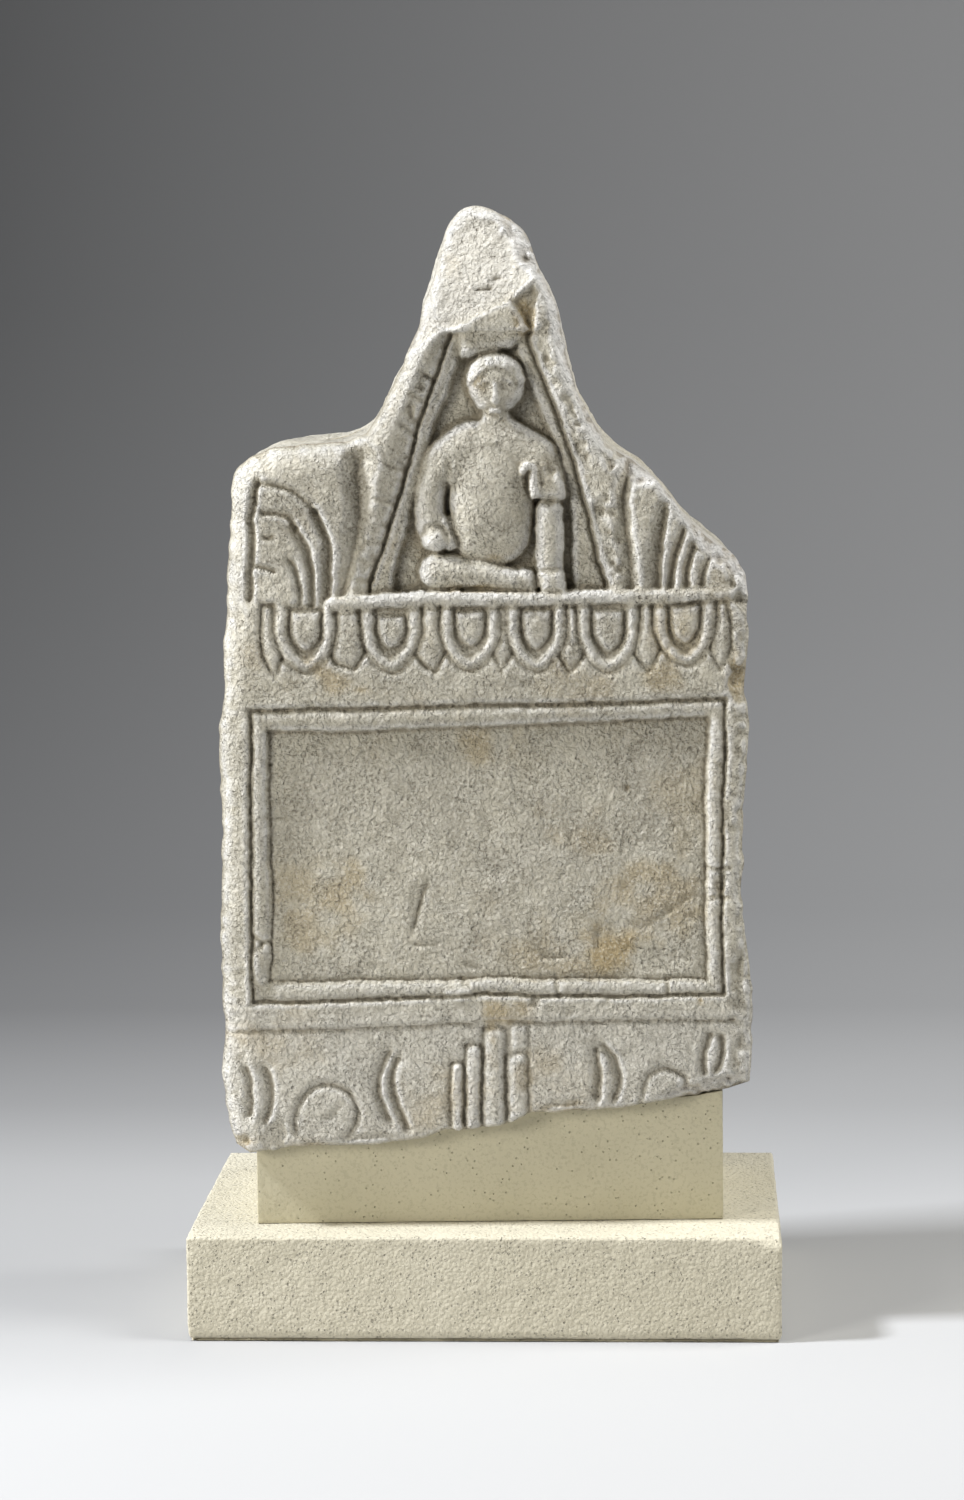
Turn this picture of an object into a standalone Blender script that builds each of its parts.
"""A carved limestone stele on a two-step plinth.

The stele is one block with its relief: a broken pediment with a seated figure in a niche, worn
palmettes at its sides, an egg-and-dart band, a framed blank tablet, and a register of crescents,
discs and colonnettes that the broken foot cuts off. The plinth is a block under the foot and a
wider slab. Metres, +Z up, the front faces -Y, and the origin is under the middle of the slab.
"""
import math

import bmesh
import bpy
import numpy as np
from mathutils import Vector
from mathutils.geometry import delaunay_2d_cdt

MM = 0.001

# Stele
STELE_WIDTH = 0.170
STELE_HEIGHT = 0.300
STELE_THICKNESS = 0.088
FACE_STEP = 0.008
STELE_TURN = math.radians(2.45)
BACK_EDGE = 0.005
BACK_SLOPE_START = 0.225
BACK_SLOPE_DEPTH = 0.016

# Plinth
SLAB_WIDTH = 0.191
SLAB_DEPTH = 0.1139
SLAB_HEIGHT = 0.0345
SLAB_BEVEL = 0.0012
BLOCK_WIDTH = 0.1511
BLOCK_DEPTH = 0.0743
BLOCK_BEVEL = 0.0006
FOOT_LIFT = 0.025
JOINT_GAP = 0.0003

# The carving is laid out on a sheet of these millimetres, x from the middle and z up from the
# foot, which is stretched to the width and height of the stele
SHEET_WIDTH = 170.0
SHEET_HEIGHT = 300.0

# Depths of the carving, in millimetres behind the flat border
NICHE_DEPTH = 7.5
TABLET_DEPTH = 2.3
CHANNEL_DEPTH = 1.8
LINE_DEPTH = 1.5
LEAF_DEPTH = 1.9
REGISTER_DEPTH = 0.5
BREAK_SLOPE = 0.75

# Spacing of the mesh points on the sheet, in millimetres
EDGE_STEP = 6.0
LINE_STEP = 3.2
FIELD_STEP = 9.0
CLOSEST = 1.0

# Worn edge from the left end of the foot over the top to the right end: x, z and wear
EDGE = (
    (-82.6, 3.5, 3.0), (-85.6, 24.0, 5.0), (-84.8, 60.0, 6.0), (-84.3, 118.0, 6.0),
    (-82.0, 160.0, 6.0), (-79.6, 203.0, 6.5), (-78.0, 216.0, 7.0), (-72.0, 224.0, 8.0),
    (-57.0, 227.8, 8.0), (-40.5, 229.0, 8.0), (-33.0, 234.0, 9.0), (-22.8, 255.1, 8.5),
    (-15.6, 273.5, 7.0), (-11.5, 290.6, 5.0), (-6.0, 299.0, 4.0), (2.0, 300.4, 4.0),
    (12.0, 295.6, 4.0), (19.8, 278.4, 4.0), (26.8, 257.5, 5.0), (34.5, 236.0, 7.0),
    (45.0, 223.0, 6.0), (56.5, 214.0, 4.0), (65.5, 202.0, 3.5), (80.5, 189.5, 3.5),
    (83.8, 178.0, 3.0), (82.9, 152.0, 3.0), (81.9, 100.0, 3.0), (84.3, 50.0, 3.0),
    (84.2, 21.0, 3.5))
# Uneven dents along the worn edge: greatest depth and lengths of the waves, in millimetres
DENT = 1.0
DENT_WAVES = (2.3, 3.7, 6.1)
# Broken foot from right to left: x, z and wear
FOOT = (
    (77.0, 18.2, 6.0), (57.5, 15.6, 4.0), (40.0, 13.6, 2.0), (14.0, 12.4, 2.0),
    (4.0, 8.6, 2.0), (-13.0, 6.9, 2.0), (-26.0, 3.6, 2.0), (-36.0, 2.2, 2.5),
    (-64.0, 2.2, 2.5), (-77.0, 0.0, 2.5))

# Framed tablet: the middle line of its roll
TABLET = ((-71.2, 53.0), (-71.4, 140.6), (72.8, 141.8), (72.9, 53.0))
ROLL_HALF = 2.7
CHANNEL_HALF = 4.7

# Egg-and-dart band
EGGS = ((-55.6, 19.3), (-29.0, 20.3), (-5.1, 16.9), (16.9, 18.0), (39.8, 20.8), (63.4, 19.8))
DART_TIPS = (-75.6, -65.2, -41.1, -15.6, 6.0, 27.5, 52.4, 73.6)
BAND_TOP = 176.6
EGG_BOTTOM = 156.6
EGG_SHELL = 4.2
SHIELD_TOP = 174.4
SHIELD_GAP = 1.4
DART_TIP = 154.2
DART_WIDEST = 162.5
DART_HALF = 4.2
DART_NECK = 1.1
FILLET = ((-45.5, 178.5), (82.0, 179.6))
FILLET_HALF = 2.4

# Pediment
NICHE = ((-35.8, 180.9), (-28.3, 202.2), (-21.5, 226.4), (-14.2, 244.8), (-8.4, 263.3),
         (1.3, 268.3), (9.1, 271.0), (14.2, 264.9), (20.3, 247.5), (27.1, 230.9),
         (32.7, 210.4), (38.7, 181.6))
CORNICE_SLOPE = ((-41.5, 180.8), (-33.2, 206.8), (-27.5, 225.6), (-20.6, 242.7), (-14.6, 261.0),
                 (-4.0, 263.0), (-4.0, 240.0), (-20.0, 180.8))
LEFT_STRIP = ((-34.5, 182.6), (-27.0, 203.5), (-22.3, 218.2), (-18.3, 234.2), (-13.6, 244.1),
              (-8.4, 259.5))
RIGHT_STRIP = ((35.0, 182.6), (29.2, 209.2), (23.6, 229.4), (16.4, 247.0))
BREAK_LINE = ((-22.0, 256.0), (-14.6, 260.5), (-6.9, 263.1), (1.3, 268.1), (9.1, 270.8),
              (17.0, 277.5), (24.0, 281.0))
CEILING_SLOPE = 12.0

# Palmettes: grooves as x, z points
LEFT_LEAVES = (
    ((-69.8, 215.7), (-64.7, 215.1), (-58.5, 212.2), (-52.1, 204.6), (-48.3, 196.0),
     (-48.5, 184.8), (-49.8, 177.2)),
    ((-68.9, 206.4), (-64.4, 205.8), (-57.8, 200.1), (-54.5, 192.7), (-53.0, 184.8),
     (-53.2, 177.2)),
    ((-60.8, 192.2), (-58.1, 186.1), (-57.1, 179.8)),
    ((-71.0, 189.1), (-65.0, 187.4)),
    ((-69.8, 214.2), (-71.5, 202.0), (-72.6, 179.4)),
    ((-60.5, 177.2), (-47.5, 177.4)))
RIGHT_LEAVES = (
    ((60.2, 207.4), (57.4, 196.5), (56.4, 182.9)),
    ((65.6, 201.5), (61.7, 192.7), (60.0, 182.9)),
    ((67.5, 195.6), (64.9, 187.5), (64.9, 182.9)),
    ((72.6, 191.4), (70.2, 187.0), (70.0, 182.9)),
    ((77.6, 188.9), (79.7, 182.9)))
LEFT_VALLEY = ((-37.6, 223.5), (-38.3, 205.0), (-41.1, 192.0), (-44.4, 179.6))
RIGHT_VALLEY = ((45.4, 213.5), (45.0, 203.0), (46.1, 194.9), (48.3, 183.0))

# Lower register: pairs of arcs as top, middle and bottom points, discs and colonnettes
REGISTER_LINE = ((-81.5, 40.6), (80.0, 42.4))
CRESCENTS = (
    ((-80.0, 32.2), (-77.0, 19.0), (-78.2, 6.5)), ((-77.0, 33.0), (-69.9, 19.0), (-74.4, 5.5)),
    ((-32.4, 32.8), (-35.0, 20.0), (-29.6, 5.2)), ((-27.0, 31.4), (-29.0, 19.0), (-24.4, 6.6)),
    ((34.0, 33.4), (35.6, 24.0), (34.8, 14.6)), ((35.0, 36.8), (42.0, 25.0), (39.2, 14.6)),
    ((72.6, 38.4), (69.3, 28.0), (70.4, 20.8)), ((74.2, 38.6), (74.8, 32.0), (71.8, 24.4)))
DISCS = ((-51.5, 11.3, 9.8), (55.7, 17.6, 6.8))
COLONNETTES = ((-13.4, -8.0, 30.2), (-8.0, -1.8, 35.8), (-1.8, 6.8, 41.4), (6.8, 14.2, 33.6))
COLONNETTE_FOOT = -3.0

# Chips and hollows as ellipses: x, z, radii and depth
CHIPS = ((17.6, 270.6, 5.6, 6.4, 4.0), (80.4, 174.0, 3.6, 5.6, 3.0), (82.4, 150.6, 4.6, 7.0, 4.0),
         (-84.5, 117.0, 3.5, 9.0, 2.0), (47.5, 221.5, 8.0, 4.0, 3.0))

# Seated figure, in millimetres in front of the niche's floor
BELLY_RISE = 8.8
HEAD_RISE = 7.6
LIMB_RISE = 5.4
LEG_RISE = 6.6


def clear_scene():
    """Remove whatever the file holds."""
    for item in list(bpy.data.objects):
        bpy.data.objects.remove(item, do_unlink=True)


def stone(name, colour, roughness):
    """A plain opaque stone."""
    material = bpy.data.materials.new(name)
    material.use_nodes = True
    shader = material.node_tree.nodes["Principled BSDF"]
    shader.inputs["Base Color"].default_value = (*colour, 1.0)
    shader.inputs["Roughness"].default_value = roughness
    shader.inputs["Metallic"].default_value = 0.0
    return material


def smooth(value, start, end):
    """0 up to start, 1 from end, and a smooth rise between them."""
    share = np.clip((value - start) / (end - start), 0.0, 1.0)
    return share * share * (3.0 - 2.0 * share)


def along(path, spacing, closed=False):
    """Points at about this spacing along a path of straight runs, its corners kept."""
    corners = list(path) + [path[0]] * closed
    points = []
    for start, end in zip(corners, corners[1:]):
        start = np.array(start, float)
        end = np.array(end, float)
        count = max(1, round(float(np.hypot(*(end - start)[:2])) / spacing))
        points += [start + (end - start) * i / count for i in range(count)]
    if not closed:
        points.append(np.array(corners[-1], float))
    return np.array(points)


def flowing(path, steps=4):
    """A Catmull-Rom curve through the points of a path."""
    given = np.array(path, float)
    padded = np.vstack([2 * given[0] - given[1], given, 2 * given[-1] - given[-2]])
    points = []
    for i in range(1, len(padded) - 2):
        a, b, c, d = padded[i - 1:i + 3]
        for t in np.arange(steps) / steps:
            points.append(0.5 * (2 * b + (c - a) * t + (2 * a - 5 * b + 4 * c - d) * t * t
                                 + (3 * b - a - 3 * c + d) * t ** 3))
    points.append(given[-1])
    return np.array(points)


def arc(start, middle, end, steps=8):
    """A curve of one bend that passes through three points."""
    a, m, b = (np.array(p, float) for p in (start, middle, end))
    pull = 2.0 * m - 0.5 * (a + b)
    return np.array([(1 - t) ** 2 * a + 2 * t * (1 - t) * pull + t * t * b
                     for t in np.linspace(0.0, 1.0, steps + 1)])


def ring(x, z, radius_x, radius_z, steps):
    """An ellipse as a closed list of points."""
    turns = np.arange(steps) * 2.0 * math.pi / steps
    return np.column_stack([x + radius_x * np.cos(turns), z + radius_z * np.sin(turns)])


def nearest(path, x, z):
    """Distance from each point to a path, and the share of its length at the nearest place."""
    best = np.full(x.shape, np.inf)
    share = np.zeros(x.shape)
    lengths = np.hypot(*np.diff(np.array(path), axis=0)[:, :2].T)
    walked = 0.0
    for (start, end), length in zip(zip(path, path[1:]), lengths):
        dx = end[0] - start[0]
        dz = end[1] - start[1]
        t = np.clip(((x - start[0]) * dx + (z - start[1]) * dz) / length ** 2, 0.0, 1.0)
        distance = np.hypot(x - start[0] - t * dx, z - start[1] - t * dz)
        closer = distance < best
        best = np.where(closer, distance, best)
        share = np.where(closer, (walked + t * length) / lengths.sum(), share)
        walked += length
    return best, share


def inside_by(corners, x, z):
    """How far each point lies inside a closed outline, negative outside."""
    closed = list(corners) + [corners[0]]
    within = np.zeros(x.shape, bool)
    for (ax, az), (bx, bz) in zip((c[:2] for c in closed), (c[:2] for c in closed[1:])):
        if az != bz:
            crosses = ((az > z) != (bz > z)) & (x < (bx - ax) * (z - az) / (bz - az) + ax)
            within ^= crosses
    distance = nearest(closed, x, z)[0]
    return np.where(within, distance, -distance)


def beside(path, offset):
    """A path moved sideways by an offset, or by one offset for each point."""
    points = np.array(path, float)
    run = np.gradient(points, axis=0)
    run /= np.hypot(run[:, 0], run[:, 1])[:, None]
    return points + np.column_stack([-run[:, 1], run[:, 0]]) * np.reshape(offset, (-1, 1))


def around(path, start_radius, end_radius):
    """The closed outline of a rounded limb that tapers along a path."""
    points = np.array(path, float)
    radii = np.linspace(start_radius, end_radius, len(points))
    left = beside(points, radii)
    right = beside(points, -radii)
    caps = []
    for centre, side, radius in ((points[-1], left[-1], end_radius),
                                 (points[0], right[0], start_radius)):
        first = math.atan2(side[1] - centre[1], side[0] - centre[0])
        turns = [first - math.pi * i / 4 for i in (1, 2, 3)]
        caps.append([centre + radius * np.array([math.cos(a), math.sin(a)]) for a in turns])
    return np.vstack([left, caps[0], right[::-1], caps[1]])


class Groove:
    """An incised line with a rounded bottom."""

    def __init__(self, path, half_width, depth):
        self.path = path
        self.half_width = half_width
        self.depth = depth

    def carve(self, face, x, z):
        distance = nearest(self.path, x, z)[0] / self.half_width
        return face - self.depth * np.maximum(0.0, 1.0 - distance ** 2) ** 2

    def seeds(self):
        middle = along(self.path, LINE_STEP)
        return [beside(middle, side) for side in (0.0, self.half_width, -self.half_width)]


class Ridge:
    """A rounded rib or limb that rises from the ground to a level, tapering along its path."""

    def __init__(self, path, start_radius, end_radius, level, rise, crest_only=False):
        self.path = path
        self.crest_only = crest_only
        self.start_radius = start_radius
        self.end_radius = end_radius
        self.level = level
        self.rise = rise

    def carve(self, face, x, z):
        distance, share = nearest(self.path, x, z)
        radius = self.start_radius + (self.end_radius - self.start_radius) * share
        across = np.minimum(distance / radius, 1.0)
        top = self.level - self.rise * (1.0 - np.sqrt(1.0 - across ** 2))
        return np.where(across < 1.0, np.maximum(face, top), face)

    def seeds(self):
        middle = along(self.path, LINE_STEP)
        if self.crest_only:
            return [middle]
        rims = [around(middle, self.start_radius * share + more, self.end_radius * share + more)
                for share, more in ((1.0, 0.3), (0.8, 0.0))]
        return [middle] + rims


class Mound:
    """A rounded swelling over an ellipse."""

    def __init__(self, x, z, radius_x, radius_z, level, rise):
        self.centre = (x, z)
        self.radii = (radius_x, radius_z)
        self.level = level
        self.rise = rise

    def carve(self, face, x, z):
        across = np.hypot((x - self.centre[0]) / self.radii[0],
                          (z - self.centre[1]) / self.radii[1])
        top = self.level - self.rise * (1.0 - np.sqrt(1.0 - np.minimum(across, 1.0) ** 2))
        return np.where(across < 1.0, np.maximum(face, top), face)

    def seeds(self):
        rings = []
        steps = max(10, round(math.pi * sum(self.radii) / LINE_STEP))
        for share, more in ((1.0, 0.4), (0.9, 0.0), (0.6, 0.0)):
            radii = [radius * share + more for radius in self.radii]
            rings.append(ring(*self.centre, *radii, steps))
        radii = [radius * 0.3 for radius in self.radii]
        return rings + [ring(*self.centre, *radii, steps // 2), np.array([self.centre])]


class Scoop:
    """A shallow hollow over an ellipse."""

    def __init__(self, x, z, radius_x, radius_z, depth):
        self.centre = (x, z)
        self.radii = (radius_x, radius_z)
        self.depth = depth

    def carve(self, face, x, z):
        across = np.hypot((x - self.centre[0]) / self.radii[0],
                          (z - self.centre[1]) / self.radii[1])
        return face - self.depth * np.maximum(0.0, 1.0 - across ** 2)

    def seeds(self):
        steps = max(6, round(math.pi * sum(self.radii) / LINE_STEP))
        return [ring(*self.centre, *self.radii, steps), np.array([self.centre])]


class Plate:
    """A raised field with rounded rims inside a closed outline."""

    def __init__(self, corners, rim, level, rise):
        self.corners = corners
        self.rim = rim
        self.level = level
        self.rise = rise

    def carve(self, face, x, z):
        depth = inside_by(self.corners, x, z)
        across = np.clip(1.0 - depth / self.rim, 0.0, 1.0)
        top = self.level - self.rise * (1.0 - np.sqrt(1.0 - across ** 2))
        return np.where(depth > 0.0, np.maximum(face, top), face)

    def seeds(self):
        return shrunk_rims(along(self.corners, LINE_STEP, closed=True), (0.0, 0.8 * self.rim))


class Recess:
    """A field sunk below its surroundings inside a closed outline, with a sloping wall."""

    def __init__(self, corners, wall, depth, added=False, lip_only=False):
        self.corners = corners
        self.wall = wall
        self.depth = depth
        self.added = added
        self.lip_only = lip_only

    def carve(self, face, x, z):
        share = smooth(inside_by(self.corners, x, z), 0.0, self.wall)
        if self.added:
            return face - self.depth * share
        return np.minimum(face, face * (1.0 - share) - self.depth * share)

    def seeds(self):
        insets = (-0.1,) if self.lip_only else (-0.1, self.wall)
        return shrunk_rims(along(self.corners, LINE_STEP, closed=True), insets)


def shrunk_rims(points, insets):
    """Closed rows of points, moved inwards from one row by some distances or lists of them."""
    run = np.roll(points, -1, axis=0) - np.roll(points, 1, axis=0)
    run /= np.maximum(np.hypot(run[:, 0], run[:, 1]), 1e-9)[:, None]
    inward = np.column_stack([run[:, 1], -run[:, 0]])
    area = np.sum(points[:, 0] * np.roll(points[:, 1], -1)
                  - np.roll(points[:, 0], -1) * points[:, 1])
    if area > 0.0:
        inward = -inward
    return [points + np.reshape(inset, (-1, 1)) * inward for inset in insets]


def egg_outline(centre, half_width, top, bottom, steps=14):
    """The hanging outline of an egg: upright at the top and round below."""
    turns = np.linspace(0.0, math.pi, steps + 1)
    shoulder = bottom + 0.62 * (top - bottom)
    bowl = [(centre - half_width * math.cos(a), shoulder - (shoulder - bottom) * math.sin(a))
            for a in turns]
    return np.array([(centre - half_width, top)] + bowl + [(centre + half_width, top)])


def dart_outline(tip):
    """A dart: a narrow neck, a wide shoulder and a point below."""
    right = [(tip + DART_NECK, BAND_TOP), (tip + 0.55 * DART_HALF, DART_WIDEST + 6.0),
             (tip + DART_HALF, DART_WIDEST), (tip + 0.6 * DART_HALF, DART_WIDEST - 4.0)]
    left = [(2 * tip - x, z) for x, z in reversed(right)]
    return right + [(tip, DART_TIP)] + left


def tablet():
    """The framed tablet: a sunk field, and a roll in a channel around it."""
    closed = list(TABLET) + [TABLET[0]]
    middle = (TABLET[0][1] + TABLET[1][1]) / 2
    outer = [(x + math.copysign(CHANNEL_HALF, x), z + math.copysign(CHANNEL_HALF, z - middle))
             for x, z in TABLET]
    yield Recess(outer, 1.6, CHANNEL_DEPTH, lip_only=True)
    yield Recess(TABLET, 1.0, TABLET_DEPTH, lip_only=True)
    yield Ridge(closed, ROLL_HALF, ROLL_HALF, -0.2, 2.1)


def egg_band():
    """Six eggs in their shells between darts, under a fillet."""
    for tip in DART_TIPS:
        yield Recess([(tip + (x - tip) * 1.35, z - 0.8) for x, z in dart_outline(tip)],
                     1.0, CHANNEL_DEPTH, lip_only=True)
    for centre, width in EGGS:
        yield Recess(egg_outline(centre, width / 2 + 1.0, BAND_TOP, EGG_BOTTOM - 0.9),
                     0.9, CHANNEL_DEPTH, lip_only=True)
    for tip in DART_TIPS:
        yield Plate(dart_outline(tip), 1.6, -0.2, 1.2)
    for centre, width in EGGS:
        half = width / 2 - EGG_SHELL / 2
        path = egg_outline(centre, half, BAND_TOP, EGG_BOTTOM + EGG_SHELL / 2)
        yield Ridge(path, EGG_SHELL / 2, EGG_SHELL / 2, 0.0, 1.8)
        inner = width / 2 - EGG_SHELL - SHIELD_GAP
        yield Plate(egg_outline(centre, inner, SHIELD_TOP, EGG_BOTTOM + EGG_SHELL + SHIELD_GAP),
                    2.4, -0.1, 1.5)
    yield Ridge(FILLET, FILLET_HALF, FILLET_HALF, 0.3, 2.2)


def palmettes():
    """The fanned grooves of the two half palmettes, and the valleys beside the cornices."""
    yield Groove(flowing(LEFT_VALLEY), 6.0, 6.0)
    yield Groove(flowing(RIGHT_VALLEY), 4.2, 5.0)
    for leaf in LEFT_LEAVES + RIGHT_LEAVES:
        yield Groove(flowing(leaf), 1.9, LEAF_DEPTH)


def pediment():
    """The niche between its raking cornices."""
    yield Recess(CORNICE_SLOPE, 7.0, 3.0, added=True, lip_only=True)
    yield Recess(NICHE, 1.6, NICHE_DEPTH)
    yield Ridge(LEFT_STRIP, 1.9, 1.7, 2.0 - NICHE_DEPTH, 2.0, crest_only=True)
    yield Ridge(RIGHT_STRIP, 2.4, 2.0, 1.8 - NICHE_DEPTH, 1.8, crest_only=True)


def figure():
    """The seated figure: one leg crossed, one knee raised, one hand on the breast."""
    floor = -NICHE_DEPTH
    limb = floor + LIMB_RISE
    leg = floor + LEG_RISE
    yield Ridge([(-9.8, 222.6), (-2.0, 226.6), (9.5, 226.6), (17.6, 222.2)], 6.8, 6.6,
                limb + 0.6, 3.0, crest_only=True)
    yield Ridge([(5.3, 236.0), (5.3, 231.0)], 4.4, 6.0, limb + 0.6, 3.0, crest_only=True)
    yield Ridge(flowing([(-12.2, 224.5), (-15.0, 213.0), (-15.2, 203.0), (-14.4, 195.5)]),
                5.4, 4.6, limb, 4.6)
    yield Ridge(flowing([(18.4, 225.5), (21.6, 218.5), (22.6, 211.5)]), 5.2, 4.0, limb, 4.6)
    yield Mound(3.6, 210.6, 13.8, 22.0, floor + BELLY_RISE, BELLY_RISE)
    yield Ridge([(21.6, 212.6), (17.2, 212.4)], 3.6, 3.2, floor + 7.2, 3.6, crest_only=True)
    yield Ridge([(17.0, 212.6), (15.4, 219.8)], 2.6, 1.9, floor + 8.8, 2.6)
    yield Mound(-14.3, 197.2, 4.4, 4.4, leg + 0.4, 5.0)
    yield Ridge([(-14.0, 186.6), (-3.0, 186.2), (9.5, 184.0)], 5.9, 3.7, leg, 5.4)
    yield Ridge([(21.7, 186.4), (21.8, 205.6)], 4.5, 4.3, leg, 5.6)
    yield Mound(14.0, 183.8, 3.4, 3.4, leg - 0.6, 4.0)
    yield Mound(21.8, 183.7, 4.6, 3.4, leg + 0.6, 4.0)
    yield Mound(5.6, 243.4, 7.4, 9.0, floor + HEAD_RISE, HEAD_RISE)
    yield Mound(5.4, 247.6, 9.6, 8.4, floor + HEAD_RISE - 0.4, HEAD_RISE - 0.4)


def register():
    """Crescents, discs and colonnettes below the tablet."""
    below = [(-90.0, -5.0), (-90.0, 40.4), (90.0, 42.6), (90.0, -5.0)]
    yield Recess(below, 1.0, REGISTER_DEPTH)
    yield Groove(REGISTER_LINE, 1.5, LINE_DEPTH)
    for points in CRESCENTS:
        yield Groove(arc(*points), 1.9, LINE_DEPTH)
    for x, z, radius in DISCS:
        circle = ring(x, z, radius, radius, 24)
        yield Groove(np.vstack([circle, circle[:1]]), 1.7, LINE_DEPTH)
    for left, right, top in COLONNETTES:
        path = [(left, COLONNETTE_FOOT), (left, top), (right, top), (right, COLONNETTE_FOOT)]
        yield Groove(path, 1.5, LINE_DEPTH)


def chips():
    """Bruises at the edges and the hollow beside the top of the niche."""
    for chip in CHIPS:
        yield Scoop(*chip)


def carving():
    """All features of the front, in the order in which they are cut."""
    for group in (tablet, egg_band, palmettes, pediment, figure, register, chips):
        yield from group()


def broken_top(face, x, z):
    """The slope of the ceiling of the niche and the bare break above it."""
    line = np.interp(x, *np.array(BREAK_LINE).T)
    share = smooth(line - z, 0.0, CEILING_SLOPE)
    near = (z > line - CEILING_SLOPE) & (np.abs(x) < 30.0)
    face = np.where(near & (face < 0.0) & (z < line), face * (0.15 + 0.85 * share), face)
    return face - BREAK_SLOPE * np.maximum(z - line, 0.0) * smooth(z, 250.0, 262.0)


def outline():
    """The closed edge of the stele on the sheet, with the wear at each point."""
    worn = flowing(EDGE, steps=6)
    lengths = np.concatenate([[0.0], np.cumsum(np.hypot(*np.diff(worn[:, :2], axis=0).T))])
    count = round(lengths[-1] / EDGE_STEP)
    places = np.linspace(0.0, lengths[-1], count + 1)
    edge = np.column_stack([np.interp(places, lengths, column) for column in worn.T])
    dents = sum(np.sin(places / wave + wave) for wave in DENT_WAVES) * DENT / len(DENT_WAVES)
    edge[1:-1, :2] = beside(edge[:, :2], dents)[1:-1]
    foot = along(FOOT, EDGE_STEP)
    return np.vstack([edge, foot])


def worn_face(features, rim, x, z):
    """Height of the front at points on the sheet: carved, broken and rounded at the edges."""
    face = np.zeros(x.shape)
    for feature in features:
        face = feature.carve(face, x, z)
    face = broken_top(face, x, z)
    closed = np.vstack([rim, rim[:1]])
    away, share = nearest(closed[:, :2], x, z)
    lengths = np.concatenate([[0.0], np.cumsum(np.hypot(*np.diff(closed[:, :2], axis=0).T))])
    wear = np.interp(share * lengths[-1], lengths, closed[:, 2])
    across = np.clip(1.0 - away / wear, 0.0, 1.0)
    return face - 1.15 * wear * (1.0 - np.sqrt(1.0 - 0.96 * across ** 2))


def spread(rims, lips, rim):
    """The points of the rows, then a plain grid, none closer to another than it should be."""
    taken = {}

    def is_free(point, distance):
        cell = (int(point[0] // FIELD_STEP), int(point[1] // FIELD_STEP))
        for i in (-1, 0, 1):
            for j in (-1, 0, 1):
                for other in taken.get((cell[0] + i, cell[1] + j), ()):
                    if math.hypot(point[0] - other[0], point[1] - other[1]) < distance:
                        return False
        return True

    def take(point):
        cell = (int(point[0] // FIELD_STEP), int(point[1] // FIELD_STEP))
        taken.setdefault(cell, []).append((float(point[0]), float(point[1])))

    for point in rim:
        take(point)
    half = SHEET_WIDTH / 2 + FIELD_STEP
    grid = [(x + (row % 2) * FIELD_STEP / 2, row * FIELD_STEP * 0.87)
            for row in range(int(SHEET_HEIGHT / FIELD_STEP / 0.87) + 1)
            for x in np.arange(-half, half, FIELD_STEP)]
    chosen = []
    worn_rims = shrunk_rims(rim[:, :2], (0.3 * rim[:, 2], 1.05 * rim[:, 2]))
    for points, distance in [(worn_rims[0], CLOSEST), (np.vstack(rims), CLOSEST),
                             (np.vstack(lips), 1.5 * CLOSEST), (worn_rims[1], 2.4 * CLOSEST),
                             (np.array(grid), FIELD_STEP * 0.55)]:
        depth = inside_by(rim, *points.T)
        for point in points[depth > CLOSEST]:
            if is_free(point, distance):
                take(point)
                chosen.append(point)
    return np.array(chosen)


def to_metres(x, z):
    """A place on the sheet as metres in the frame of the stele."""
    return (x * STELE_WIDTH / SHEET_WIDTH,
            SLAB_HEIGHT + FOOT_LIFT + z * STELE_HEIGHT / SHEET_HEIGHT)


def back_of(z, inset):
    """How far back the rear face lies at a height, a little forward near the broken top."""
    height = z - SLAB_HEIGHT - FOOT_LIFT
    slope = smooth(np.array(height), BACK_SLOPE_START, STELE_HEIGHT)
    return STELE_THICKNESS - BLOCK_DEPTH / 2 - FACE_STEP - BACK_SLOPE_DEPTH * slope - inset


def make_stele():
    """One closed mesh: carved front, rough sides in rings and a plain back."""
    rim = outline()
    features = list(carving())
    rims = [row for feature in features for row in feature.seeds()
            if not getattr(feature, "lip_only", False)]
    lips = [row for feature in features for row in feature.seeds()
            if getattr(feature, "lip_only", False)]
    inner = spread(rims, lips, rim)
    sheet = np.vstack([rim[:, :2], inner])
    count = len(rim)
    points, _, faces, origins, _, _ = delaunay_2d_cdt(
        [Vector(p) for p in sheet], [], [list(range(count))], 1, 1e-4)
    flat = np.array([tuple(p) for p in points])
    height = worn_face(features, rim, flat[:, 0], flat[:, 1])
    front = -BLOCK_DEPTH / 2 - FACE_STEP
    mesh = bmesh.new()
    x, z = to_metres(flat[:, 0], flat[:, 1])
    vertices = [mesh.verts.new((x[i], front - height[i] * MM, z[i])) for i in range(len(flat))]
    for face in faces:
        mesh.faces.new([vertices[i] for i in face])
    place = {source: i for i, sources in enumerate(origins) for source in sources}
    ring_before = [vertices[place[i]] for i in range(count)]
    rim_x, rim_z = to_metres(rim[:, 0], rim[:, 1])
    back = back_of(rim_z, BACK_EDGE)
    for share in (1 / 3, 2 / 3, 1.0):
        ring_now = []
        for i in range(count):
            start = ring_before[i].co.y if share < 0.5 else first_y[i]
            ring_now.append(mesh.verts.new((rim_x[i], start + (back[i] - start) * share,
                                            rim_z[i])))
        if share < 0.5:
            first_y = [vertex.co.y for vertex in ring_before]
        join_rings(mesh, ring_before, ring_now)
        ring_before = ring_now
    close_back(mesh, rim, ring_before)
    return finished(mesh, "stele")


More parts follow.
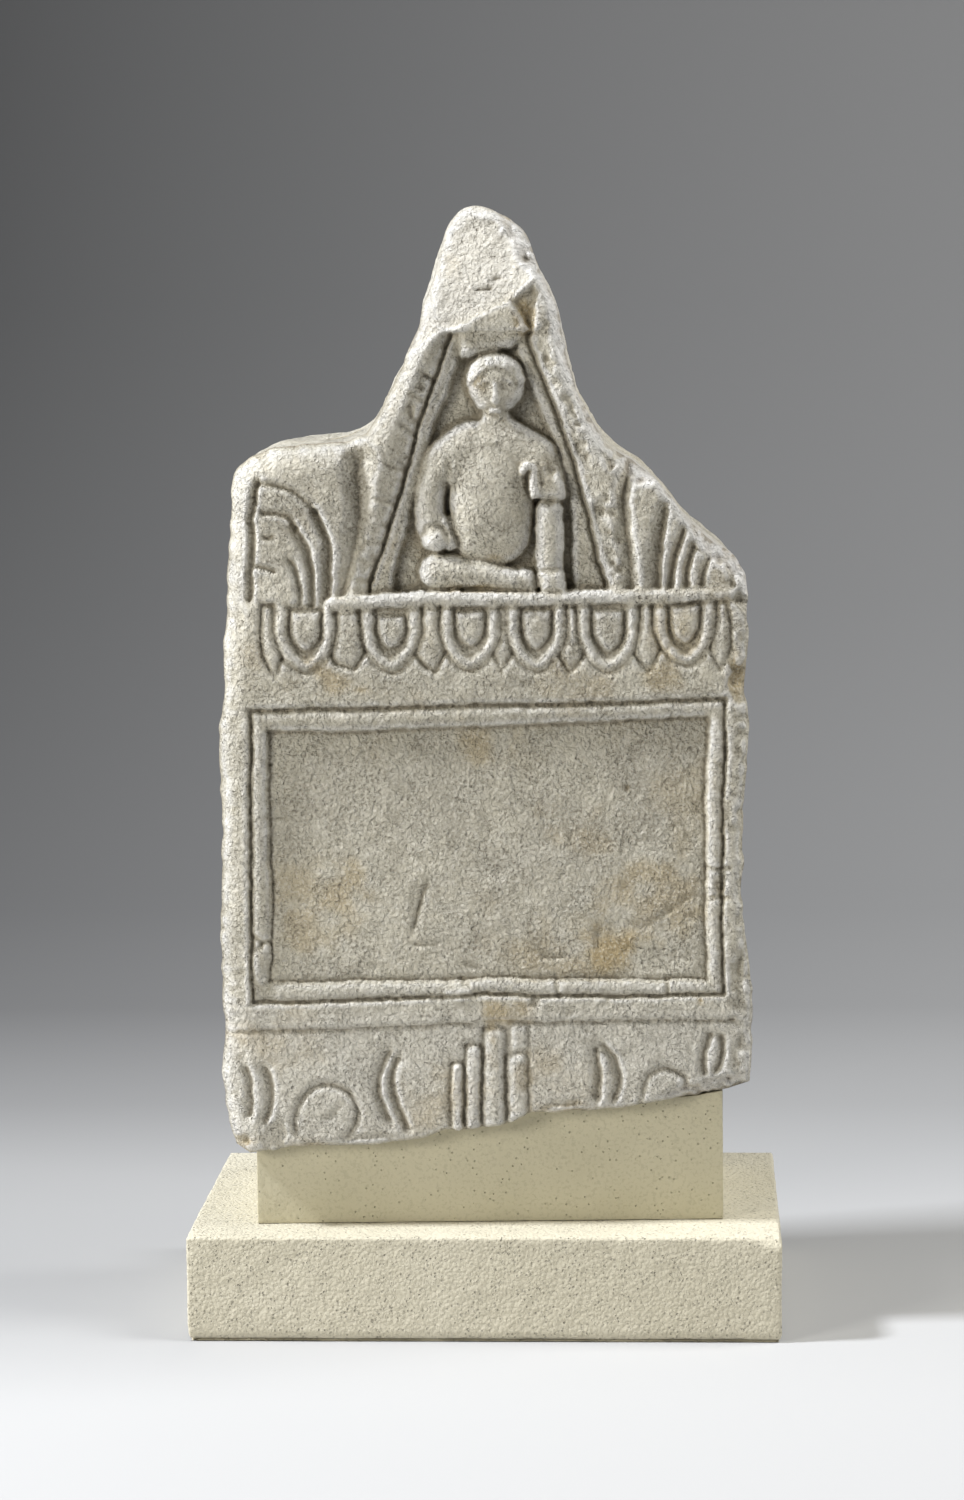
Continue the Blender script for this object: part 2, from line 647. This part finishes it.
def join_rings(mesh, before, now):
    """Quads between two rings of as many points."""
    for i in range(len(before)):
        j = (i + 1) % len(before)
        mesh.faces.new((before[i], now[i], now[j], before[j]))


def close_back(mesh, rim, edge):
    """The plain back: an outline drawn in by the worn edge, and a coarse rough field."""
    count = len(rim)
    drawn_in = shrunk_rims(rim[:, :2], (BACK_EDGE / MM,))[0]
    grid = [(x, z) for z in np.arange(10.0, SHEET_HEIGHT, 30.0)
            for x in np.arange(-75.0, 76.0, 25.0)]
    grid = np.array(grid)
    grid = grid[inside_by(rim, *grid.T) > 12.0]
    sheet = np.vstack([drawn_in, grid])
    points, _, faces, origins, _, _ = delaunay_2d_cdt(
        [Vector(p) for p in sheet], [], [list(range(count))], 1, 1e-4)
    flat = np.array([tuple(p) for p in points])
    x, z = to_metres(flat[:, 0], flat[:, 1])
    rough = 0.0012 * np.sin(flat[:, 0] * 0.11 + 1.0) * np.cos(flat[:, 1] * 0.07)
    y = back_of(z, 0.0) + rough
    vertices = [mesh.verts.new((x[i], y[i], z[i])) for i in range(len(flat))]
    for face in faces:
        mesh.faces.new([vertices[i] for i in reversed(face)])
    place = {source: i for i, sources in enumerate(origins) for source in sources}
    join_rings(mesh, edge, [vertices[place[i]] for i in range(count)])


def finished(mesh, name):
    """A named object from the mesh, with its faces pointing out."""
    bmesh.ops.recalc_face_normals(mesh, faces=mesh.faces)
    data = bpy.data.meshes.new(name)
    mesh.to_mesh(data)
    mesh.free()
    item = bpy.data.objects.new(name, data)
    bpy.context.collection.objects.link(item)
    return item


def make_block():
    """The upper step of the plinth: a block whose top follows the foot of the stele."""
    foot = along(FOOT, EDGE_STEP)[::-1]
    foot_x, foot_z = to_metres(foot[:, 0], foot[:, 1])
    half = BLOCK_WIDTH / 2
    within = [x for x in foot_x if abs(x) < half - 0.001]
    top = [(x, float(np.interp(x, foot_x, foot_z)) - JOINT_GAP)
           for x in [-half] + within + [half]]
    low = SLAB_HEIGHT + JOINT_GAP
    profile = [(half, low), (-half, low)] + top
    mesh = bmesh.new()
    front = [mesh.verts.new((x, -BLOCK_DEPTH / 2, z)) for x, z in profile]
    face = mesh.faces.new(front)
    grown = bmesh.ops.extrude_face_region(mesh, geom=[face])
    moved = [item for item in grown["geom"] if isinstance(item, bmesh.types.BMVert)]
    bmesh.ops.translate(mesh, verts=moved, vec=(0.0, BLOCK_DEPTH, 0.0))
    item = finished(mesh, "support_block")
    add_bevel(item, BLOCK_BEVEL, 1)
    return item


def make_slab():
    """The lower step of the plinth, with softly rounded edges."""
    mesh = bmesh.new()
    bmesh.ops.create_cube(mesh, size=1.0)
    bmesh.ops.scale(mesh, vec=(SLAB_WIDTH, SLAB_DEPTH, SLAB_HEIGHT), verts=mesh.verts)
    bmesh.ops.translate(mesh, vec=(0.0, 0.0, SLAB_HEIGHT / 2), verts=mesh.verts)
    item = finished(mesh, "base_slab")
    add_bevel(item, SLAB_BEVEL, 2)
    return item


def add_bevel(item, width, segments):
    """A bevel on the sharp edges."""
    bevel = item.modifiers.new("Bevel", "BEVEL")
    bevel.width = width
    bevel.segments = segments
    bevel.limit_method = "ANGLE"
    bevel.angle_limit = math.radians(50.0)


def build():
    """Make the three pieces, and turn the stele and its block a little on the slab."""
    clear_scene()
    turned = bpy.data.objects.new("turned_together", None)
    bpy.context.collection.objects.link(turned)
    turned.rotation_euler.z = STELE_TURN
    pieces = (
        (make_stele(), stone("limestone", (0.60, 0.56, 0.50), 0.90)),
        (make_block(), stone("smooth_cast_stone", (0.56, 0.52, 0.42), 0.80)),
        (make_slab(), stone("grainy_cast_stone", (0.66, 0.61, 0.49), 0.88)))
    for item, material in pieces:
        item.data.materials.append(material)
        if item.name != "base_slab":
            item.parent = turned
    bpy.context.view_layer.update()


build()
